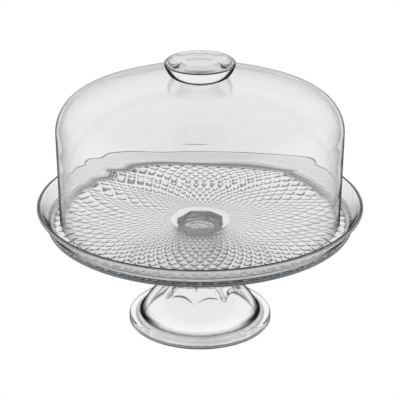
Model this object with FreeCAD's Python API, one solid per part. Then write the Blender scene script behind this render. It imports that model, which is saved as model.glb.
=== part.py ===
import FreeCAD, Part
import math
import os

# Footed glass cake stand with a lift-off dome.
# Millimetres. +Z is up, the origin is the centre of the foot's resting ring.
# Four pieces of glass: a pressed plate, a pressed hollow foot stuck to its
# underside, a blown dome shell, and a solid knob stuck to the dome's crown.

V = FreeCAD.Vector

# ---------------------------------------------------------------- dimensions
# plate
PLATE_R = 150.0            # outer radius at the top of the rim
PLATE_EDGE_R = 141.0       # radius of the upright edge of the floor slab
RIM_TOP_Z = 120.5          # top of the rim
RIM_TOP_T = 4.4            # thickness of the rolled rim top
FLOOR_T = 5.5              # thickness of the floor
FLOOR_CENTRE_Z = 102.0     # upper face of the floor on the axis
FLOOR_EDGE_Z = 105.5       # upper face of the floor where the rim starts
FLOOR_EDGE_R = 136.5       # radius at which the floor meets the rim
EDGE_BAND_TOP_Z = 106.6    # top of the upright edge band, outside

# foot
FOOT_R = 67.3              # outer radius of the resting ring
FOOT_BAND_H = 4.2          # upright band on the outside of the ring
LEDGE_R = 56.0             # radius of the ledge where the bell starts
LEDGE_Z = 8.4
BELL_MID = (43.0, 27.5)    # a point on the bell's outer arc (radius, height)
BELL_TOP = (20.0, 42.0)    # the bell's arc runs on under the stem to here
RING_IN_R = 60.4           # inner radius of the resting ring
FLANGE_IN = (51.0, 4.9)    # inside corner where the flange turns up into the bell
BELL_IN_MID = (42.0, 19.6)
BELL_IN_TOP = (24.0, 33.8)
FACETS = 8
STEM_PHASE = -97.8         # direction of one stem corner, degrees from +X
# stem corner radius against height
STEM_OUT = [(28.0, 41.5), (34.0, 38.0), (41.0, 31.8), (50.0, 26.8),
            (62.0, 23.8), (78.0, 22.2), (88.0, 22.0)]
# corner radius of the stem's hollow against height, closed off under the stub
STEM_IN = [(20.0, 40.6), (27.0, 34.5), (32.0, 29.6), (38.0, 24.4),
           (44.0, 20.4), (50.0, 18.0), (60.0, 16.2), (74.0, 15.0),
           (79.0, 14.5), (82.5, 12.9), (85.0, 10.0), (86.6, 6.0)]
# stub under the plate that the stem is stuck to
STUB_R = 21.8              # corner radius
STUB_PHASE = 22.5
STUB_Z = 88.0

# dome shell
DOME_T = 3.5               # wall thickness
DOME_SEAT_GAP = 0.3        # clearance between the shell's edge and the floor
DOME_FOOT_R = 129.4        # outer radius at the bottom edge
DOME_R = 130.3             # outer radius where the shoulder starts
SHOULDER_RHO = 30.0        # outer radius of the shoulder's arc
CROWN_RHO = 288.0          # outer radius of the crown's arc
CROWN_Z = 240.5            # outer height of the crown on the axis
BOSS_R = 17.0              # thickening inside the crown, under the knob
BOSS_Z = 232.6             # lowest point of that thickening

# knob
KNOB_TOP_Z = 256.6
KNOB_R = 31.9
KNOB_PROFILE = [(22.4, 236.0), (22.4, 239.9), (25.6, 240.9), (28.4, 243.8),
                (30.4, 246.8)]
KNOB_WIDE_Z = 251.4        # height of the widest point; the edge is rounded

os.makedirs("parts", exist_ok=True)


# ------------------------------------------------------------------- helpers
def p(r, z):
    return V(r, 0, z)


def line(a, b):
    return Part.LineSegment(p(*a), p(*b)).toShape()


def arc(a, m, b):
    return Part.Arc(p(*a), p(*m), p(*b)).toShape()


def spin(edges):
    """Solid of revolution about Z from a closed chain of profile edges."""
    face = Part.Face(Part.Wire(edges))
    solid = face.revolve(V(0, 0, 0), V(0, 0, 1), 360)
    if solid.ShapeType != "Solid":
        solid = Part.Solid(solid.Shells[0])
    if solid.Volume < 0:
        solid.reverse()
    return solid


def prism_loft(sections, phase):
    """Eight-sided loft; sections are (height, corner radius)."""
    wires = []
    for z, r in sections:
        pts = []
        for k in range(FACETS + 1):
            a = math.radians(phase + 360.0 * k / FACETS)
            pts.append(V(r * math.cos(a), r * math.sin(a), z))
        pts[-1] = pts[0]
        wires.append(Part.makePolygon(pts))
    return Part.makeLoft(wires, True, True)


def single(shape):
    """The one solid of a boolean's result."""
    shape = shape.removeSplitter()
    solids = shape.Solids
    assert len(solids) == 1, len(solids)
    return solids[0]


def on_circle(cx, cz, rad, ang):
    a = math.radians(ang)
    return (cx + rad * math.cos(a), cz + rad * math.sin(a))


def sag_mid(z0, r1, z1):
    """Middle point of a shallow arc from (0, z0), level on the axis, to (r1, z1)."""
    rho = (r1 * r1 + (z1 - z0) ** 2) / (2 * (z1 - z0))
    r = r1 / 2.0
    return (r, z0 + rho - math.sqrt(rho * rho - r * r))


# --------------------------------------------------------------------- plate
under_r = PLATE_EDGE_R - 2.2
under_z = FLOOR_EDGE_Z - FLOOR_T
zc_u = FLOOR_CENTRE_Z - FLOOR_T
rim_in_top = (PLATE_R - RIM_TOP_T, RIM_TOP_Z - 1.6)
plate_edges = [
    arc((0, zc_u), sag_mid(zc_u, under_r, under_z), (under_r, under_z)),
    arc((under_r, under_z), (PLATE_EDGE_R - 0.62, under_z + 0.55),
        (PLATE_EDGE_R, under_z + 2.0)),
    line((PLATE_EDGE_R, under_z + 2.0), (PLATE_EDGE_R, EDGE_BAND_TOP_Z)),
    line((PLATE_EDGE_R, EDGE_BAND_TOP_Z), (PLATE_R - 0.7, RIM_TOP_Z - 3.0)),
    arc((PLATE_R - 0.7, RIM_TOP_Z - 3.0), (PLATE_R, RIM_TOP_Z - 1.7),
        (PLATE_R - 0.7, RIM_TOP_Z - 0.5)),
    arc((PLATE_R - 0.7, RIM_TOP_Z - 0.5), (PLATE_R - 2.3, RIM_TOP_Z),
        (PLATE_R - 3.7, RIM_TOP_Z - 0.5)),
    arc((PLATE_R - 3.7, RIM_TOP_Z - 0.5),
        (PLATE_R - RIM_TOP_T + 0.22, RIM_TOP_Z - 0.95), rim_in_top),
    line(rim_in_top, (139.4, 108.4)),
    arc((139.4, 108.4), (138.35, 106.35), (FLOOR_EDGE_R, FLOOR_EDGE_Z)),
    arc((FLOOR_EDGE_R, FLOOR_EDGE_Z),
        sag_mid(FLOOR_CENTRE_Z, FLOOR_EDGE_R, FLOOR_EDGE_Z),
        (0, FLOOR_CENTRE_Z)),
    line((0, FLOOR_CENTRE_Z), (0, zc_u)),
]
plate = spin(plate_edges)
stub = prism_loft([(STUB_Z, STUB_R), (99.0, STUB_R)], STUB_PHASE)
plate = single(plate.fuse(stub))

# ---------------------------------------------------------------------- foot
bell = spin([
    line((0, 0), (FOOT_R - 0.8, 0)),
    arc((FOOT_R - 0.8, 0), (FOOT_R - 0.23, 0.23), (FOOT_R, 0.8)),
    line((FOOT_R, 0.8), (FOOT_R, FOOT_BAND_H)),
    arc((FOOT_R, FOOT_BAND_H), (FOOT_R - 1.1, FOOT_BAND_H + 2.0),
        (FOOT_R - 3.4, FOOT_BAND_H + 2.9)),
    line((FOOT_R - 3.4, FOOT_BAND_H + 2.9), (LEDGE_R, LEDGE_Z)),
    arc((LEDGE_R, LEDGE_Z), BELL_MID, BELL_TOP),
    line(BELL_TOP, (0, BELL_TOP[1])),
    line((0, BELL_TOP[1]), (0, 0)),
])
stem = prism_loft(STEM_OUT, STEM_PHASE)
foot = bell.fuse(stem)
bell_hollow = spin([
    line((0, -5), (RING_IN_R + 0.8, -5)),
    line((RING_IN_R + 0.8, -5), (RING_IN_R, 0.8)),
    line((RING_IN_R, 0.8), (57.2, 3.7)),
    line((57.2, 3.7), FLANGE_IN),
    arc(FLANGE_IN, BELL_IN_MID, BELL_IN_TOP),
    line(BELL_IN_TOP, (0, BELL_IN_TOP[1])),
    line((0, BELL_IN_TOP[1]), (0, -5)),
])
stem_hollow = prism_loft(STEM_IN, STEM_PHASE)
foot = single(foot.cut(bell_hollow.fuse(stem_hollow)))

# ---------------------------------------------------------------- dome shell
crown_cz = CROWN_Z - CROWN_RHO
sh_cx = DOME_R - SHOULDER_RHO
sh_cz = crown_cz + math.sqrt((CROWN_RHO - SHOULDER_RHO) ** 2 - sh_cx ** 2)
tan_ang = math.degrees(math.atan2(sh_cz - crown_cz, sh_cx))


def shell_outline(off):
    """Wall top, shoulder arc and crown arc, offset inwards by off."""
    rho_s = SHOULDER_RHO - off
    rho_c = CROWN_RHO - off
    wall = (DOME_R - off, sh_cz)
    sh_mid = on_circle(sh_cx, sh_cz, rho_s, tan_ang / 2.0)
    sh_end = on_circle(sh_cx, sh_cz, rho_s, tan_ang)
    cr_mid = on_circle(0, crown_cz, rho_c, (90 + tan_ang) / 2.0)
    return wall, sh_mid, sh_end, cr_mid, (0, crown_cz + rho_c)


def floor_z(r):
    rho = (FLOOR_EDGE_R ** 2 + (FLOOR_EDGE_Z - FLOOR_CENTRE_Z) ** 2) / (
        2 * (FLOOR_EDGE_Z - FLOOR_CENTRE_Z))
    return FLOOR_CENTRE_Z + rho - math.sqrt(rho * rho - r * r)


seat_z = floor_z(DOME_FOOT_R) + DOME_SEAT_GAP
o = shell_outline(0.0)
i = shell_outline(DOME_T)
foot_in_r = DOME_FOOT_R - DOME_T
edge_r = 1.4
shell_edges = [
    line((DOME_FOOT_R, seat_z + edge_r), o[0]),
    arc(o[0], o[1], o[2]),
    arc(o[2], o[3], o[4]),
    line(o[4], i[4]),
    arc(i[4], i[3], i[2]),
    arc(i[2], i[1], i[0]),
    line(i[0], (foot_in_r, seat_z + edge_r)),
    arc((foot_in_r, seat_z + edge_r),
        (foot_in_r + 0.41, seat_z + 0.41), (foot_in_r + edge_r, seat_z)),
    line((foot_in_r + edge_r, seat_z), (DOME_FOOT_R - edge_r, seat_z)),
    arc((DOME_FOOT_R - edge_r, seat_z),
        (DOME_FOOT_R - 0.41, seat_z + 0.41), (DOME_FOOT_R, seat_z + edge_r)),
]
shell = spin(shell_edges)
boss_edge = (BOSS_R, CROWN_Z - DOME_T - 0.5)
boss = spin([
    arc((0, BOSS_Z), sag_mid(BOSS_Z, *boss_edge), boss_edge),
    line(boss_edge, (BOSS_R, CROWN_Z - 1.8)),
    line((BOSS_R, CROWN_Z - 1.8), (0, CROWN_Z - 1.8)),
    line((0, CROWN_Z - 1.8), (0, BOSS_Z)),
])
dome_shell = single(shell.fuse(boss))

# ---------------------------------------------------------------------- knob
kp = KNOB_PROFILE
round_rho = KNOB_TOP_Z - KNOB_WIDE_Z
flat_r = KNOB_R - round_rho
knob_edges = [
    line((0, kp[0][1]), kp[0]),
    line(kp[0], kp[1]),
    line(kp[1], kp[2]),
    line(kp[2], kp[3]),
    line(kp[3], kp[4]),
    arc(kp[4], (KNOB_R - 0.45, KNOB_WIDE_Z - 2.4), (KNOB_R, KNOB_WIDE_Z)),
    arc((KNOB_R, KNOB_WIDE_Z),
        on_circle(flat_r, KNOB_WIDE_Z, round_rho, 45), (flat_r, KNOB_TOP_Z)),
    line((flat_r, KNOB_TOP_Z), (0, KNOB_TOP_Z)),
    line((0, KNOB_TOP_Z), (0, kp[0][1])),
]
crown_ball = Part.makeSphere(CROWN_RHO, V(0, 0, crown_cz))
knob = single(spin(knob_edges).cut(crown_ball))

# -------------------------------------------------------------------- export
pieces = {
    "plate": plate,
    "foot": foot,
    "dome_shell": dome_shell,
    "knob": knob,
}
for name, shape in pieces.items():
    assert shape.isValid(), name
    shape.exportStep(os.path.join("parts", name + ".step"))
    b = shape.BoundBox
    print("%-11s vol %9.1f mm3  z %.2f..%.2f  r %.2f" % (
        name, shape.Volume, b.ZMin, b.ZMax, b.XMax))

names = list(pieces)
for a in range(len(names)):
    for c in range(a + 1, len(names)):
        common = pieces[names[a]].common(pieces[names[c]])
        dist = pieces[names[a]].distToShape(pieces[names[c]])[0]
        print("%s / %s: overlap %.4f mm3, distance %.3f mm" % (
            names[a], names[c], common.Volume, dist))
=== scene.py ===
import math

import bpy
import numpy as np
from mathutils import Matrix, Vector


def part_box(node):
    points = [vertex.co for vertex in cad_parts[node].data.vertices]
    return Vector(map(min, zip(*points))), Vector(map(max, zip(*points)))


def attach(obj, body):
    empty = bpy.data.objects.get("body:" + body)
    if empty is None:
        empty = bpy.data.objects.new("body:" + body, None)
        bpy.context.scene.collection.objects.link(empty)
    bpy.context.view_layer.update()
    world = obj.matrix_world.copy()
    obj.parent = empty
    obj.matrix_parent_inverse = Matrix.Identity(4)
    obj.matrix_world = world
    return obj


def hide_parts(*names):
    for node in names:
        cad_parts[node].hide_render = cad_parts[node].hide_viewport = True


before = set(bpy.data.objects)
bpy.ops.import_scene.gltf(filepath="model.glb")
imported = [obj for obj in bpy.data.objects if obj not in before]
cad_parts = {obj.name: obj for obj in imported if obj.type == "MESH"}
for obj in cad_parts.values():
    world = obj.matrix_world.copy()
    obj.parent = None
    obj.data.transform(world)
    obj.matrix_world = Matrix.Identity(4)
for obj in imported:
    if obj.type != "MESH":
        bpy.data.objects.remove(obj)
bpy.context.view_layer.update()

MM = 0.001
TAU = 2.0 * math.pi

# ------------------------------------------------------------------ sizes (mm)
PLATE_LO, PLATE_HI = [[v / MM for v in c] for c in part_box("plate")]
FOOT_LO, FOOT_HI = [[v / MM for v in c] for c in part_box("foot")]
DOME_LO, DOME_HI = [[v / MM for v in c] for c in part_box("dome_shell")]
KNOB_LO, KNOB_HI = [[v / MM for v in c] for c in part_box("knob")]

PLATE_R = 150.0
RIM_TOP = 120.5
FLOOR_T = 5.5
FLOOR_C = 102.0
FLOOR_E = 105.5
FLOOR_ER = 136.5
EDGE_R = 141.0
UNDER_R = EDGE_R - 2.2
UNDER_E = FLOOR_E - FLOOR_T
UNDER_C = FLOOR_C - FLOOR_T

LAT_N = 64                 # diamonds round the plate
LAT_STEP = 10              # mesh steps across one diamond
LAT_R0 = 28.9              # inner edge of the lattice


# ------------------------------------------------------------------ mesh tools
def arc3(a, m, b, n):
    """n+1 points on the circle through a, m, b."""
    (x1, y1), (x2, y2), (x3, y3) = a, m, b
    d = 2 * (x1 * (y2 - y3) + x2 * (y3 - y1) + x3 * (y1 - y2))
    ux = ((x1 ** 2 + y1 ** 2) * (y2 - y3) + (x2 ** 2 + y2 ** 2) * (y3 - y1)
          + (x3 ** 2 + y3 ** 2) * (y1 - y2)) / d
    uy = ((x1 ** 2 + y1 ** 2) * (x3 - x2) + (x2 ** 2 + y2 ** 2) * (x1 - x3)
          + (x3 ** 2 + y3 ** 2) * (x2 - x1)) / d
    r = math.hypot(x1 - ux, y1 - uy)
    t1 = math.atan2(y1 - uy, x1 - ux)
    t2 = math.atan2(y2 - uy, x2 - ux)
    t3 = math.atan2(y3 - uy, x3 - ux)
    up = (t3 - t1) % TAU
    if (t2 - t1) % TAU > up:
        up -= TAU
    return [(ux + r * math.cos(t1 + up * k / n), uy + r * math.sin(t1 + up * k / n))
            for k in range(n + 1)]


def seg(a, b, n):
    return [(a[0] + (b[0] - a[0]) * k / n, a[1] + (b[1] - a[1]) * k / n)
            for k in range(n + 1)]


def path(*runs):
    """Runs of points joined end to end, without repeating the joints."""
    out = []
    for run in runs:
        for q in run:
            if not out or math.hypot(q[0] - out[-1][0], q[1] - out[-1][1]) > 1e-6:
                out.append(q)
    return out


def catmull(pts, n):
    """Smooth curve through the points, n steps a span (centripetal enough for these)."""
    pts = [np.array(q, float) for q in pts]
    pts = [2 * pts[0] - pts[1]] + pts + [2 * pts[-1] - pts[-2]]
    out = []
    for k in range(1, len(pts) - 2):
        p0, p1, p2, p3 = pts[k - 1:k + 3]
        for j in range(n):
            t = j / n
            out.append(tuple(0.5 * (2 * p1 + (p2 - p0) * t
                       + (2 * p0 - 5 * p1 + 4 * p2 - p3) * t * t
                       + (3 * p1 - p0 - 3 * p2 + p3) * t ** 3)))
    out.append(tuple(pts[-2]))
    return out


def skin(name, rows, loop=False, flip=False, diag=None):
    """Mesh over rows of points (M x 3 in mm); a row of one point is a pole.

    diag(i) may give, for the band after row i, an array of 0 or 1 per quad:
    which of its two diagonals splits it.
    """
    verts, start = [], []
    n = 0
    for r in rows:
        r = np.atleast_2d(np.asarray(r, float))
        start.append((n, len(r)))
        verts.append(r)
        n += len(r)
    co = np.concatenate(verts) * MM
    faces = []
    bands = len(rows) if loop else len(rows) - 1
    for i in range(bands):
        a0, na = start[i]
        b0, nb = start[(i + 1) % len(rows)]
        if na == 1 and nb == 1:
            continue
        m = max(na, nb)
        k = np.arange(m)
        k1 = (k + 1) % m
        if na == 1:
            f = np.stack([np.full(m, a0), b0 + k1, b0 + k], 1)
            faces.append(f)
        elif nb == 1:
            f = np.stack([a0 + k, a0 + k1, np.full(m, b0)], 1)
            faces.append(f)
        else:
            q = np.stack([a0 + k, a0 + k1, b0 + k1, b0 + k], 1)
            d = diag(i) if diag else None
            if d is None:
                faces.append(q)
            else:
                one = d.astype(bool)
                faces.append(np.concatenate([q[one][:, [0, 1, 2]], q[one][:, [0, 2, 3]]]))
                faces.append(np.concatenate([q[~one][:, [0, 1, 3]], q[~one][:, [1, 2, 3]]]))
    me = bpy.data.meshes.new(name)
    total = sum(f.size for f in faces)
    count = sum(len(f) for f in faces)
    loops = np.concatenate([(f[:, ::-1] if flip else f).ravel() for f in faces])
    sizes = np.concatenate([np.full(len(f), f.shape[1]) for f in faces])
    me.vertices.add(len(co))
    me.vertices.foreach_set("co", co.ravel())
    me.loops.add(total)
    me.loops.foreach_set("vertex_index", loops.astype(np.int32))
    me.polygons.add(count)
    me.polygons.foreach_set("loop_start",
                            np.concatenate([[0], np.cumsum(sizes)[:-1]]).astype(np.int32))
    me.update(calc_edges=True)
    me.validate()
    me.polygons.foreach_set("use_smooth", [True] * len(me.polygons))
    ob = bpy.data.objects.new(name, me)
    bpy.context.scene.collection.objects.link(ob)
    return ob


def ring(r, z, th):
    r = np.broadcast_to(r, th.shape)
    z = np.broadcast_to(z, th.shape)
    return np.stack([r * np.cos(th), r * np.sin(th), z], 1)


def volume_mm3(ob):
    me = ob.data
    me.calc_loop_triangles()
    co = np.empty(len(me.vertices) * 3)
    me.vertices.foreach_get("co", co)
    co = co.reshape(-1, 3) / MM
    t = np.empty(len(me.loop_triangles) * 3, np.int32)
    me.loop_triangles.foreach_get("vertices", t)
    a, b, c = (co[t.reshape(-1, 3)[:, k]] for k in range(3))
    return float(np.einsum("ij,ij->i", a, np.cross(b, c)).sum() / 6.0)


def sag(z0, r1, z1, r):
    rho = (r1 * r1 + (z1 - z0) ** 2) / (2 * (z1 - z0))
    return z0 + rho - np.sqrt(rho * rho - r * r)


FACETS = 8
STUB_R = 21.8
STUB_PHASE = math.radians(22.5)
STUB_Z = 88.0


def octagon(rc, phase, t, rounding=0.08):
    """Radius of an eight-sided section of corner radius rc towards t, corners eased."""
    a = (t - phase) % (TAU / FACETS) - math.pi / FACETS
    flat = rc * math.cos(math.pi / FACETS) / np.cos(a)
    # ease the corners a little towards the circle inside them
    return np.minimum(flat, rc * (1.0 - rounding * 0.12))


# ------------------------------------------------------------------ materials
def ramp_node(nt, stops, interp="LINEAR"):
    """Colour ramp with the given (position, grey or colour) stops."""
    n = nt.nodes.new("ShaderNodeValToRGB")
    cr = n.color_ramp
    cr.interpolation = interp
    while len(cr.elements) < len(stops):
        cr.elements.new(0.5)
    for e, (pos, c) in zip(cr.elements, sorted(stops, key=lambda q: q[0])):
        e.position = pos
        c = (c, c, c) if isinstance(c, (int, float)) else c
        e.color = tuple(c) + (1,)
    return n


def glass(name, tint, edge, density, absorb, ripple=0.0, ripple_size=8.0, bands=(), edge_shade2=None, seeds=0.0, flank_shade=None):
    """Clear glass.

    tint is the colour face on. edge gives, against how far the surface turns away,
    how much near-black diffuse is mixed in: painted shade along the silhouettes, darker
    than the long way through the wall alone makes them. absorb and
    density are the body colour of the metal. ripple is the height in mm of the faint
    unevenness that fire polishing leaves, at ripple_size mm. bands are colour multipliers over
    height or radius: (axis, lo, hi, stops, where), in mm, where is None or the same
    for the other axis as a mask; most of those given are painted shade. edge2 is (edge, where, ...):
    a second painted-shade edge ramp that takes over where all its masks are 1. seeds is the radius
    in mm of the small seeds and specks in the metal. flanks is (stops, masks): painted shade over how
    level the surface lies, 1 being flat, inside the masks, darkening steep slopes of a pressed pattern.
    """
    mat = bpy.data.materials.new(name)
    mat.use_nodes = True
    nt = mat.node_tree
    nt.nodes.clear()
    N = nt.nodes.new
    L = nt.links.new
    out = N("ShaderNodeOutputMaterial")
    bsdf = N("ShaderNodeBsdfPrincipled")
    bsdf.inputs["Transmission Weight"].default_value = 1.0
    bsdf.inputs["Roughness"].default_value = 0.0
    bsdf.inputs["IOR"].default_value = 1.5
    # painted shade: a near-black diffuse that the edge ramp mixes into the glass towards its silhouettes
    dark = N("ShaderNodeBsdfDiffuse")
    dark.inputs["Color"].default_value = (0.012, 0.013, 0.015, 1)
    lw = N("ShaderNodeLayerWeight")
    lw.inputs["Blend"].default_value = 0.5
    ramp = ramp_node(nt, edge)
    L(lw.outputs["Facing"], ramp.inputs["Fac"])
    both = N("ShaderNodeMixShader")
    L(bsdf.outputs[0], both.inputs[1])
    L(dark.outputs[0], both.inputs[2])
    L(both.outputs[0], out.inputs["Surface"])
    tc = N("ShaderNodeTexCoord")
    sep = N("ShaderNodeSeparateXYZ")
    L(tc.outputs["Object"], sep.inputs[0])
    flat = N("ShaderNodeVectorMath")
    flat.operation = "MULTIPLY"
    flat.inputs[1].default_value = (1, 1, 0)
    L(tc.outputs["Object"], flat.inputs[0])
    rad = N("ShaderNodeVectorMath")
    rad.operation = "LENGTH"
    L(flat.outputs[0], rad.inputs[0])
    axes = {"z": sep.outputs["Z"], "r": rad.outputs["Value"]}

    def over(axis, lo, hi, stops):
        mr = N("ShaderNodeMapRange")
        mr.inputs["From Min"].default_value = lo * MM
        mr.inputs["From Max"].default_value = hi * MM
        L(axes[axis], mr.inputs["Value"])
        rn = ramp_node(nt, stops)
        L(mr.outputs["Result"], rn.inputs["Fac"])
        return rn.outputs["Color"]

    def inside(masks):
        """One mask out of several, multiplied."""
        share = over(*masks[0])
        for m in masks[1:]:
            j = N("ShaderNodeMath")
            j.operation = "MULTIPLY"
            L(share, j.inputs[0])
            L(over(*m), j.inputs[1])
            share = j.outputs[0]
        return share

    # painted shade: inside the masks a second ramp sets how much near-black diffuse is mixed in
    if edge_shade2:
        other = ramp_node(nt, edge_shade2[0])
        L(lw.outputs["Facing"], other.inputs["Fac"])
        pick = N("ShaderNodeMix")
        pick.data_type = "RGBA"
        L(inside(edge_shade2[1:]), pick.inputs["Factor"])
        L(ramp.outputs["Color"], pick.inputs["A"])
        L(other.outputs["Color"], pick.inputs["B"])
        L(pick.outputs["Result"], both.inputs["Fac"])
    else:
        L(ramp.outputs["Color"], both.inputs["Fac"])
    # slow colour drift through the metal
    drift = N("ShaderNodeTexNoise")
    drift.inputs["Scale"].default_value = 9.0
    drift.inputs["Detail"].default_value = 2.0
    L(tc.outputs["Object"], drift.inputs["Vector"])
    body = N("ShaderNodeMix")
    body.data_type = "RGBA"
    body.inputs["A"].default_value = tuple(t * 0.985 for t in tint) + (1,)
    body.inputs["B"].default_value = tuple(min(1.0, t * 1.01) for t in tint) + (1,)
    L(drift.outputs["Fac"], body.inputs["Factor"])
    colour = body.outputs["Result"]
    # bands multiply the colour; most of those given below are painted shade lines and bands
    for axis, lo, hi, stops, where in bands:
        c = over(axis, lo, hi, stops)
        mul = N("ShaderNodeMix")
        mul.data_type = "RGBA"
        mul.blend_type = "MULTIPLY"
        if where is None:
            mul.inputs["Factor"].default_value = 1.0
        else:
            L(over(*where), mul.inputs["Factor"])
        L(colour, mul.inputs["A"])
        L(c, mul.inputs["B"])
        colour = mul.outputs["Result"]
    # painted shade: steep slopes, read from the normal's z, darkened inside the masks
    if flank_shade:
        lie = N("ShaderNodeSeparateXYZ")
        L(tc.outputs["Normal"], lie.inputs[0])
        level = N("ShaderNodeMath")
        level.operation = "ABSOLUTE"
        L(lie.outputs["Z"], level.inputs[0])
        steep = ramp_node(nt, flank_shade[0])
        L(level.outputs[0], steep.inputs["Fac"])
        mul = N("ShaderNodeMix")
        mul.data_type = "RGBA"
        mul.blend_type = "MULTIPLY"
        L(inside(flank_shade[1]), mul.inputs["Factor"])
        L(colour, mul.inputs["A"])
        L(steep.outputs["Color"], mul.inputs["B"])
        colour = mul.outputs["Result"]
    if seeds:
        vor = N("ShaderNodeTexVoronoi")
        vor.inputs["Scale"].default_value = 1.0 / (6.0 * MM)
        L(tc.outputs["Object"], vor.inputs["Vector"])
        r1 = seeds / 6.0
        dots = ramp_node(nt, [(0.0, 0.05), (r1 * 0.8, 0.12), (r1 * 1.2, 1.0)])
        L(vor.outputs["Distance"], dots.inputs["Fac"])
        tone = N("ShaderNodeSeparateColor")
        L(vor.outputs["Color"], tone.inputs[0])
        some = ramp_node(nt, [(0.0, 1.0), (0.38, 1.0), (0.4, 0.25), (0.7, 0.25), (0.72, 0.0)])
        L(tone.outputs[0], some.inputs["Fac"])
        mul = N("ShaderNodeMix")
        mul.data_type = "RGBA"
        mul.blend_type = "MULTIPLY"
        L(some.outputs["Color"], mul.inputs["Factor"])
        L(colour, mul.inputs["A"])
        L(dots.outputs["Color"], mul.inputs["B"])
        colour = mul.outputs["Result"]
    L(colour, bsdf.inputs["Base Color"])
    if ripple:
        wave = N("ShaderNodeTexNoise")
        wave.inputs["Scale"].default_value = 1.0 / (ripple_size * MM)
        wave.inputs["Detail"].default_value = 1.0
        L(tc.outputs["Object"], wave.inputs["Vector"])
        bump = N("ShaderNodeBump")
        bump.inputs["Strength"].default_value = 1.0
        bump.inputs["Distance"].default_value = ripple * MM
        L(wave.outputs["Fac"], bump.inputs["Height"])
        L(bump.outputs["Normal"], bsdf.inputs["Normal"])
    if density:
        vol = N("ShaderNodeVolumeAbsorption")
        vol.inputs["Color"].default_value = tuple(absorb) + (1,)
        vol.inputs["Density"].default_value = density
        L(vol.outputs[0], out.inputs["Volume"])
    return mat


# ------------------------------------------------------------------ plate
M = LAT_N * LAT_STEP
th = np.arange(M) * TAU / M
P_ROW = 0.25
K_ROW = (1 - P_ROW) * 2 * 7.9 / 100 ** P_ROW


def lat_r(s):
    return (LAT_R0 ** (1 - P_ROW) + K_ROW * s) ** (1 / (1 - P_ROW))


LAT_ROWS = 69
LAT_R1 = lat_r(LAT_ROWS / LAT_STEP)
phi = np.arange(M) / LAT_STEP


def ease(x):
    x = np.clip(x, 0.0, 1.0)
    return x * x * (3.0 - 2.0 * x)


def lattice_height(s, r):
    """How far the flat-topped pads stand below the crossing grooves, in mm."""
    u = phi + s
    v = phi - s
    a = np.abs((u % 1.0) - 0.5) * 2.0
    b = np.abs((v % 1.0) - 0.5) * 2.0
    fa = 1.0 - ease((a - 0.44) / 0.38)
    fb = 1.0 - ease((b - 0.44) / 0.38)
    depth = min(1.2, 0.27 * math.pi * r / LAT_N)
    return depth * fa * fb, depth


rows, kinds = [], []


def add(row, kind=None):
    rows.append(row)
    kinds.append(kind)


# top of the floor, from the axis out, then the rim, the edge and the underside
add([[0, 0, FLOOR_C]])
for r in np.linspace(6, FLOOR_ER - 4, 8):
    add(ring(r, sag(FLOOR_C, FLOOR_ER, FLOOR_E, r), th))
rim = path(
    seg((FLOOR_ER - 4, sag(FLOOR_C, FLOOR_ER, FLOOR_E, FLOOR_ER - 4)), (FLOOR_ER, FLOOR_E), 1),
    arc3((FLOOR_ER, FLOOR_E), (138.35, 106.35), (139.4, 108.4), 4),
    seg((139.4, 108.4), (145.6, 118.9), 4),
    arc3((145.6, 118.9), (146.3, 119.95), (147.1, 120.35), 3),
    arc3((147.1, 120.35), (148.0, 120.5), (148.9, 120.25), 3),
    arc3((148.9, 120.25), (149.75, 119.4), (149.9, 118.5), 3),
    arc3((149.9, 118.5), (149.7, 117.8), (149.3, 117.2), 2),
    seg((149.3, 117.2), (141.9, 107.6), 4),
    arc3((141.9, 107.6), (141.25, 106.7), (EDGE_R, 105.6), 3),
    seg((EDGE_R, 105.6), (EDGE_R, UNDER_E + 2.0), 2),
    arc3((EDGE_R, UNDER_E + 2.0), (EDGE_R - 0.62, UNDER_E + 0.55), (UNDER_R, UNDER_E), 4),
)
for r, z in rim[1:]:
    add(ring(r, z, th))
UNDER = lambda r: sag(UNDER_C, UNDER_R, UNDER_E, r)
for r, z in path(arc3((UNDER_R, UNDER_E), (UNDER_R - 1.0, UNDER(UNDER_R - 1.0) + 0.15), (UNDER_R - 1.8, UNDER(UNDER_R - 1.8) + 0.9), 3),
                 [(LAT_R1 + 0.5, UNDER(LAT_R1 + 0.5) + 1.9)])[1:]:
    add(ring(r, z, th))
for j in range(LAT_ROWS, -1, -1):
    s = j / LAT_STEP
    r = lat_r(s)
    h, depth = lattice_height(s, r)
    base = UNDER(r) + depth + 0.9 * float(ease((r - 90.0) / 40.0))
    add(ring(r, base - h, th), ("lat", j))
add(ring(LAT_R0 - 0.2, sag(UNDER_C, UNDER_R, UNDER_E, LAT_R0 - 0.2), th))
add(ring(26.0, sag(UNDER_C, UNDER_R, UNDER_E, 26.0), th))
# the short eight-sided stub that the stem is stuck to
stub = octagon(STUB_R, STUB_PHASE, th)
uz = sag(UNDER_C, UNDER_R, UNDER_E, STUB_R)
for dr, dz in ((1.1, 0.0), (0.45, -0.2), (0.1, -0.6), (0.0, -1.2)):
    add(ring(stub + dr, uz + dz, th))
for z in np.linspace(uz - 2.5, STUB_Z, 4):
    add(ring(stub, z, th))
for f in (0.6, 0.25):
    add(ring(stub * f, STUB_Z, th))
add([[0, 0, STUB_Z]])


def plate_diag(i):
    """Split the lattice's quads along the ribs."""
    a = kinds[i]
    b = kinds[i + 1] if i + 1 < len(kinds) else None
    if not a or not b:
        return None
    # between row j and j-1: a quad at step k runs from (k, j) to (k+1, j-1)
    j = a[1]
    k = np.arange(M)
    u0 = (k + j) % LAT_STEP          # on a rib of the first family at 0
    du = (k + 1 + j - 1) % LAT_STEP
    first = (u0 == du) & (np.minimum(u0, LAT_STEP - u0) <= np.minimum((k - j) % LAT_STEP, LAT_STEP - (k - j) % LAT_STEP))
    return first.astype(int)


plate = skin("pressed_plate", rows, diag=plate_diag)
if volume_mm3(plate) < 0:
    plate.data.flip_normals()
plate.data.set_sharp_from_angle(angle=math.radians(50))
print("plate", round(volume_mm3(plate)), "tris", sum(len(p.vertices) - 2 for p in plate.data.polygons))

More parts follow.
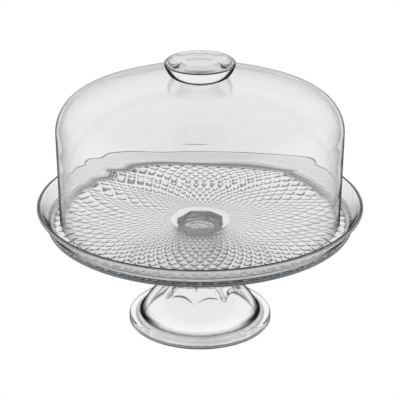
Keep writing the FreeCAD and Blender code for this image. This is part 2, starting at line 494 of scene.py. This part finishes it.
# ------------------------------------------------------------------ foot
MF = 400
tf = np.arange(MF) * TAU / MF
OUT_PHASE = math.radians(-97.8)
IN_PHASE = math.radians(-97.8)
STEM_OUT = np.array([(20.0, 47.0), (28.0, 41.5), (34.0, 38.0), (41.0, 31.8), (50.0, 26.8),
                     (62.0, 23.8), (78.0, 22.2), (92.0, 22.0), (104.0, 22.3)])
HOL_OCT = np.array([(12.0, 47.4), (20.0, 40.8), (27.0, 34.5), (32.0, 29.6), (38.0, 24.4),
                    (44.0, 20.4), (50.0, 18.0), (60.0, 16.2), (74.0, 15.0), (90.0, 14.2)])
ROOF_Z = 86.6          # top of the stem's hollow


def smooth_table(tab, z):
    """Monotone-ish smooth lookup through a short table."""
    pts = catmull([tuple(q) for q in tab], 12)
    pts = np.array(pts)
    return np.interp(z, pts[:, 0], pts[:, 1])


def smax(a, b, k):
    """Smooth maximum with a blend of k mm."""
    h = np.clip(0.5 + 0.5 * (a - b) / k, 0, 1)
    return b * (1 - h) + a * h + k * h * (1 - h)


bell_arc = np.array(arc3((56.0, 8.4), (43.0, 27.5), (20.0, 42.0), 60))
UND = lambda r: sag(UNDER_C, UNDER_R, UNDER_E, r)

bell_in = np.array(arc3((51.0, 4.9), (42.0, 19.6), (24.0, 33.8), 60))
frows = [[[0, 0, ROOF_Z]]]
for a_ in np.linspace(78, 4, 11):
    c_ = math.cos(math.radians(a_))
    z = 78.0 + (ROOF_Z - 78.0) * math.sin(math.radians(a_))
    flute = 1.0 - 0.42 * (a_ / 90.0) * np.abs(np.cos((tf - IN_PHASE) * FACETS / 2)) ** 0.7
    frows.append(ring(octagon(float(smooth_table(HOL_OCT, z)), IN_PHASE, tf) * c_ * flute, z, tf))
for z in np.concatenate([np.linspace(77.6, 36, 20), np.linspace(35.4, 18, 40), np.linspace(17, 6.6, 10)]):
    if z <= 33.8:
        rb = float(np.interp(-z, -bell_in[::-1, 1], bell_in[::-1, 0]))
    else:
        rb = 24.0 - (z - 33.8) * 2
    ri = octagon(smooth_table(HOL_OCT, z), IN_PHASE, tf)
    frows.append(ring(smax(np.full(MF, rb), ri, 0.35), z, tf))
hollow = path(
    arc3((50.55, 5.9), (51.0, 5.2), (52.4, 4.75), 4),
    seg((52.4, 4.75), (56.4, 3.9), 3),
    arc3((56.4, 3.9), (58.0, 3.2), (59.4, 1.9), 4),
    arc3((59.4, 1.9), (60.2, 0.6), (61.0, 0.1), 4),
)
for r, z in hollow:
    frows.append(ring(r, z, tf))
for r, z in hollow:
    frows.append(ring(r, z, tf))
low = path(
    arc3((12.6, 35.4), (13.6, 35.3), (14.6, 34.95), 3),
    arc3((14.6, 34.95), (38.2, 22.4), (50.3, 6.4), 44),
    arc3((50.3, 6.4), (51.0, 5.3), (52.4, 4.75), 4),
    seg((52.4, 4.75), (56.4, 3.9), 3),
    arc3((56.4, 3.9), (58.0, 3.2), (59.4, 1.9), 4),
    arc3((59.4, 1.9), (60.2, 0.6), (61.0, 0.1), 4),
)
for r, z in hollow:
    frows.append(ring(r, z, tf))
low = path(
    seg((61.4, 0.0), (66.3, 0.0), 3),
    arc3((66.3, 0.0), (67.05, 0.28), (67.3, 1.0), 4),
    seg((67.3, 1.0), (67.3, 4.0), 2),
    arc3((67.3, 4.0), (66.3, 6.05), (64.2, 7.05), 6),
    seg((64.2, 7.05), (58.0, 8.0), 3),
    arc3((58.0, 8.0), (56.6, 8.5), (55.6, 9.6), 4),
)
for r, z in low:
    frows.append(ring(r, z, tf))
zs = np.concatenate([np.linspace(10.4, 26, 16), np.linspace(26.8, 44, 36), np.linspace(45, 87.0, 26)])
for z in zs:
    rb = float(np.interp(-z, -bell_arc[::-1, 1], bell_arc[::-1, 0])) if z <= 42 else 0.0
    if z > 42:
        rb = 20.0 - (z - 42) * 3
    ro = octagon(smooth_table(STEM_OUT, z), OUT_PHASE, tf)
    frows.append(ring(smax(np.full(MF, rb), ro, 0.5), z, tf))
r_top = octagon(22.0, OUT_PHASE, tf)
frows.append(ring(r_top, STUB_Z - 0.3, tf))
frows.append(ring(r_top - 0.3, STUB_Z + 0.05, tf))
for f in (0.6, 0.25):
    frows.append(ring(r_top * f, STUB_Z + 0.05, tf))
frows.append([[0, 0, STUB_Z + 0.05]])
foot = skin("pressed_foot", frows)
if volume_mm3(foot) < 0:
    foot.data.flip_normals()
foot.data.set_sharp_from_angle(angle=math.radians(40))
print("foot", round(volume_mm3(foot)), "tris", sum(len(p.vertices) - 2 for p in foot.data.polygons))

# ------------------------------------------------------------------ dome shell
MD = 384
td = np.arange(MD) * TAU / MD
DOME_T = 3.5
CZ = 240.5 - 288.0
SX = 130.3 - 30.0
SZ = CZ + math.sqrt((288.0 - 30.0) ** 2 - SX ** 2)
TAN = math.atan2(SZ - CZ, SX)
SEAT = DOME_LO[2]


def dome_line(off, n_wall, n_sh, n_cr):
    """Wall, shoulder and crown from the bottom up, offset inwards by off."""
    pts = seg((129.4 - off, SEAT + 1.4), (130.3 - off, SZ), n_wall)
    pts += [(SX + (30.0 - off) * math.cos(a), SZ + (30.0 - off) * math.sin(a))
            for a in np.linspace(0, TAN, n_sh + 1)[1:]]
    pts += [((288.0 - off) * math.cos(a), CZ + (288.0 - off) * math.sin(a))
            for a in np.linspace(TAN, math.pi / 2, n_cr + 1)[1:-1]]
    return pts


def wobble(t, z, r, seed, amp):
    """Slow unevenness of blown glass, in mm; it dies away at the edge and the axis."""
    rng = np.random.default_rng(seed)
    w = np.zeros_like(t)
    for k, f, g in ((2, 0.010, 0.9), (3, 0.017, 0.8), (5, 0.024, 0.7), (7, 0.031, 0.55), (11, 0.047, 0.3)):
        p1, p2 = rng.uniform(0, TAU, 2)
        w += g * np.sin(k * t + p1 + TAU * f * z * rng.uniform(0.6, 1.4)) * math.cos(TAU * f * z + p2)
    return amp * w * min(1.0, r / 60.0) * min(1.0, max(0.0, (z - SEAT) / 12.0))


drows = [[[0, 0, 240.5]]]
outer = dome_line(0.0, 26, 26, 22)[::-1]
inner = dome_line(DOME_T, 26, 26, 26)
for r, z in outer:
    w = wobble(td, z, r, 11, 0.035)
    drows.append(ring(r + w * min(1, r / 120), z + w * 0.0, td))
for r, z in arc3((129.4, SEAT + 1.4), (129.4 - 0.41, SEAT + 0.41), (128.0, SEAT), 5)[1:]:
    drows.append(ring(r, z, td))
for r, z in arc3((127.3, SEAT), (125.9 + 0.41, SEAT + 0.41), (125.9, SEAT + 1.4), 5):
    drows.append(ring(r, z, td))
BOSS_R, BOSS_Z = 17.0, 232.6
for r, z in inner[1:]:
    if r < BOSS_R + 6:
        break
    w = wobble(td, z, r, 29, 0.07)
    drows.append(ring(r + w, z, td))
cr = lambda r: CZ + math.sqrt((288.0 - DOME_T) ** 2 - r * r)
boss = catmull([(23.0, cr(23.0)), (20.0, cr(20.0) - 0.15), (17.6, cr(17.6) - 0.9), (16.0, 234.6),
                (12.5, 233.3), (7.0, 232.75), (1.5, 232.6)], 5)
for r, z in boss[1:]:
    drows.append(ring(r, z, td))
drows.append([[0, 0, 232.6]])
dome = skin("blown_dome", drows)
if volume_mm3(dome) < 0:
    dome.data.flip_normals()
print("dome", round(volume_mm3(dome)), "tris", sum(len(p.vertices) - 2 for p in dome.data.polygons))

# ------------------------------------------------------------------ knob
MK = 192
tk = np.arange(MK) * TAU / MK
side = catmull([(22.8, 239.35), (24.4, 240.15), (26.6, 241.7), (28.6, 244.1), (30.2, 246.9),
                (31.4, 249.8), (31.85, 251.8), (31.3, 253.4), (29.7, 254.7), (27.0, 255.7), (24.0, 256.25)], 7)
krows = [[[0, 0, 239.4]]]
for r in (7, 14):
    krows.append(ring(r, 239.4, tk))
for r, z in side:
    krows.append(ring(r, z, tk))
def knob_top(r):
    """The pressed top: a shallow dish with faint rings in it."""
    dish = 0.45 * math.exp(-(r / 11.0) ** 2)
    rings = 0.045 * math.cos(r * TAU / 4.4) * math.exp(-((r - 9.0) / 9.0) ** 2)
    return 256.58 - 0.3 * (r / 23.0) ** 2 - dish + rings


for r in np.linspace(23.0, 0.8, 52):
    krows.append(ring(r, knob_top(r), tk))
krows.append([[0, 0, knob_top(0.0)]])
knob = skin("knob_solid", krows)
if volume_mm3(knob) < 0:
    knob.data.flip_normals()
print("knob", round(volume_mm3(knob)), "tris", sum(len(p.vertices) - 2 for p in knob.data.polygons))

# ------------------------------------------------------------------ finishes, with painted shade
METAL = (0.40, 0.443, 0.4775)
SMOKE = (0.43, 0.443, 0.45)
# painted shade ramps: against Layer Weight facing, how much near-black diffuse each glass takes towards its silhouettes
THIN = [(0.40, 0.0), (0.48, 0.015), (0.576, 0.04), (0.622, 0.065), (0.653, 0.09), (0.687, 0.14), (0.705, 0.17),
        (0.746, 0.21), (0.797, 0.30), (0.828, 0.42), (0.860, 0.78), (0.92, 0.93), (1.0, 0.95)]
CROWN = [(0.40, 0.0), (0.50, 0.015), (0.60, 0.045), (0.70, 0.11), (0.80, 0.20), (0.88, 0.32), (0.95, 0.5), (1.0, 0.7)]
THICK = [(0.60, 0.0), (0.63, 0.02), (0.68, 0.10), (0.75, 0.40), (0.80, 0.80), (0.86, 0.96), (1.0, 0.985)]
BLACK = [(0.44, 0.0), (0.53, 0.06), (0.57, 0.5), (0.61, 0.97), (0.70, 0.99), (1.0, 0.99)]
CAP = [(0.61, 0.0), (0.66, 0.03), (0.75, 0.10), (0.90, 0.3), (1.0, 0.5)]
STROKE = [(0.10, 0.0), (0.20, 0.15), (0.30, 0.6), (0.40, 0.94), (0.50, 0.985), (1.0, 0.985)]


def steel(v):
    """A blue-grey of brightness v."""
    # used for the painted shade lines round the plate's edge
    return (v * 0.80, v * 0.92, v)


mats = {
    "plate": glass("plate_glass", (0.99, 0.995, 0.995), THIN, 27.0, METAL, bands=(
        # painted shade: a near-black line along the crest of the rim, above z 120
        ("z", 118.6, 120.6, [(0.0, 1.0), (0.72, 1.0), (0.82, 0.01), (1.0, 0.002)], None),
        # painted shade: the rim's sloping outer wall made a little greyer
        ("z", 106.6, 119.6, [(0.0, 0.92), (0.3, 0.86), (0.8, 0.90), (1.0, 0.95)],
         ("r", 136.0, 139.0, [(0.0, 0.0), (1.0, 1.0)])),
        # painted shade: near-black and blue-grey lines round the plate's outer edge, paler between
        ("z", 99.5, 107.5, [(0.0, 0.003), (0.12, 0.003), (0.20, steel(0.14)), (0.27, steel(0.14)), (0.33, steel(0.04)),
                            (0.38, steel(0.04)), (0.44, steel(0.22)), (0.49, steel(0.22)), (0.54, steel(0.01)),
                            (0.60, steel(0.01)), (0.65, 0.95), (0.74, 0.95), (0.80, steel(0.3)), (0.86, steel(0.3)),
                            (0.90, 1.0)],
         ("r", 138.0, 140.0, [(0.0, 0.0), (1.0, 1.0)])),
        # painted shade on the stub: its colour greyer (0.7), and a fixed near-black mix of 0.68 there at every angle
        ("z", 86.0, 98.0, [(0.0, 0.7), (0.68, 0.7), (0.76, 1.0)],
         ("r", 18.0, 25.0, [(0.0, 0.0), (0.25, 1.0), (0.8, 1.0), (1.0, 0.0)])),
    ), edge_shade2=([(0.0, 0.68), (1.0, 0.68)], ("z", 86.0, 98.0, [(0.0, 1.0), (0.70, 1.0), (0.78, 0.0)]),
              ("r", 17.0, 25.0, [(0.0, 0.0), (0.3, 1.0), (1.0, 1.0)])), flank_shade=([(0.50, 0.002), (0.72, 0.006), (0.79, 0.15), (0.86, 1.0), (1.0, 1.0)],
               # painted shade on the steep slopes of the lattice, r 27 to 137
               (("r", 27.0, 137.0, [(0.0, 0.0), (0.02, 1.0), (0.97, 1.0), (1.0, 0.0)]),
                ("z", 94.0, 106.0, [(0.0, 0.0), (0.04, 1.0), (0.80, 1.0), (0.84, 0.0)])))),
    "foot": glass("foot_glass", (0.975, 0.98, 0.978), THICK, 9.0, METAL, 0.012, 9.0, bands=(
        # painted shade: near-black and grey lines on the outer face of the foot ring
        ("z", 0.0, 6.0, [(0.0, 0.004), (0.20, 0.006), (0.30, 0.7), (0.42, 0.6), (0.50, 0.02), (0.58, 0.03), (0.68, 1.0)],
         ("r", 65.0, 66.8, [(0.0, 0.0), (1.0, 1.0)])),
        # painted shade: a grey band on the ledge, r 52 to 58.5
        ("r", 52.0, 58.5, [(0.0, 1.0), (0.4, 0.55), (0.7, 0.5), (1.0, 1.0)],
         ("z", 7.0, 13.0, [(0.0, 0.0), (0.1, 1.0), (0.5, 1.0), (0.9, 0.0)])),
        ("z", 9.0, 18.0, [(0.0, 1.0), (1.0, 0.90)], None),
    # painted shade: near-black strokes along the foot's silhouettes round the ledge, z 8 to 14
    ), edge_shade2=(STROKE, ("z", 8.0, 14.0, [(0.0, 0.0), (0.05, 1.0), (0.48, 1.0), (0.95, 0.0)])), seeds=0.42),
    # painted shade: near-black diffuse mixed into the dome towards its silhouettes, with its own ramp over the crown
    "dome": glass("dome_glass", (0.952, 0.952, 0.948), THIN, 8.0, SMOKE, 0.004, 14.0,
                  edge_shade2=(CROWN, ("z", 200.0, 224.0, [(0.0, 0.0), (1.0, 1.0)])), seeds=0.3),
    # painted shade: near-black towards the knob's silhouettes, a near-black line round its widest part (z 251 to
    # 252.5), and a softer ramp over the cap
    "knob": glass("knob_glass", (0.99, 0.99, 0.985), BLACK, 4.0, SMOKE, 0.006, 8.0, bands=(
        ("z", 250.0, 253.5, [(0.0, 1.0), (0.28, 1.0), (0.40, 0.02), (0.58, 0.02), (0.70, 1.0)], None),),
                  edge_shade2=(CAP, ("z", 252.0, 254.5, [(0.0, 0.0), (1.0, 1.0)]))),
}
for ob, mat, node, body, slot in (
        (plate, "plate", "plate", "stand", "plate_glass"),
        (foot, "foot", "foot", "stand", "foot_glass"),
        (dome, "dome", "dome_shell", "dome", "dome_glass"),
        (knob, "knob", "knob", "dome", "knob_glass")):
    ob.data.materials.append(mats[mat])
    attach(ob, body)
    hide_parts(node)

# ------------------------------------------------------------------ camera
scene = bpy.context.scene
PITCH = math.radians(23.28)
DIST = 1.300
AIM = Vector((0, 0, 0.120))
cam_data = bpy.data.cameras.new("camera")
cam_data.sensor_width = 36.0
cam_data.lens = 36.0 * 1408.0 / 400.0
cam_data.clip_end = 200.0
cam = bpy.data.objects.new("camera", cam_data)
cam.location = AIM + Vector((0, -DIST * math.cos(PITCH), DIST * math.sin(PITCH)))
cam.rotation_euler = (math.pi / 2 - PITCH, 0, 0)
scene.collection.objects.link(cam)
scene.camera = cam

# ------------------------------------------------------------------ stage
fm = bpy.data.meshes.new("floor")
S = 60.0
fm.from_pydata([(-S, -S, -0.0002), (S, -S, -0.0002), (S, S, -0.0002), (-S, S, -0.0002)], [], [(0, 1, 2, 3)])
floor = bpy.data.objects.new("floor", fm)
scene.collection.objects.link(floor)
fmat = bpy.data.materials.new("floor")
fmat.use_nodes = True
nt = fmat.node_tree
nt.nodes.clear()
o_ = nt.nodes.new("ShaderNodeOutputMaterial")
em = nt.nodes.new("ShaderNodeEmission")
em.inputs["Color"].default_value = (1, 1, 1, 1)
em.inputs["Strength"].default_value = 1.0
nt.links.new(em.outputs[0], o_.inputs["Surface"])
fm.materials.append(fmat)

world = bpy.data.worlds.new("studio")
scene.world = world
world.use_nodes = True
nt = world.node_tree
nt.nodes.clear()
wo = nt.nodes.new("ShaderNodeOutputWorld")
bg = nt.nodes.new("ShaderNodeBackground")
tc = nt.nodes.new("ShaderNodeTexCoord")
sp = nt.nodes.new("ShaderNodeSeparateXYZ")
rp = nt.nodes.new("ShaderNodeValToRGB")
nt.links.new(tc.outputs["Generated"], sp.inputs[0])
nt.links.new(sp.outputs["Z"], rp.inputs["Fac"])
cr_ = rp.color_ramp
cr_.interpolation = "EASE"
cr_.elements[0].position = 0.42
cr_.elements[0].color = (1, 1, 1, 1)
cr_.elements[1].position = 0.60
cr_.elements[1].color = (0.70, 0.71, 0.72, 1)
e2 = cr_.elements.new(0.95)
e2.color = (0.10, 0.103, 0.106, 1)
nt.links.new(rp.outputs["Color"], bg.inputs["Color"])
nt.links.new(bg.outputs[0], wo.inputs["Surface"])

# ------------------------------------------------------------------ render set-up
scene.view_settings.view_transform = "Standard"
cy = scene.cycles
cy.max_bounces = 32
cy.transmission_bounces = 32
cy.glossy_bounces = 16
cy.transparent_max_bounces = 16
cy.diffuse_bounces = 2
cy.blur_glossy = 0.0
cy.use_denoising = True
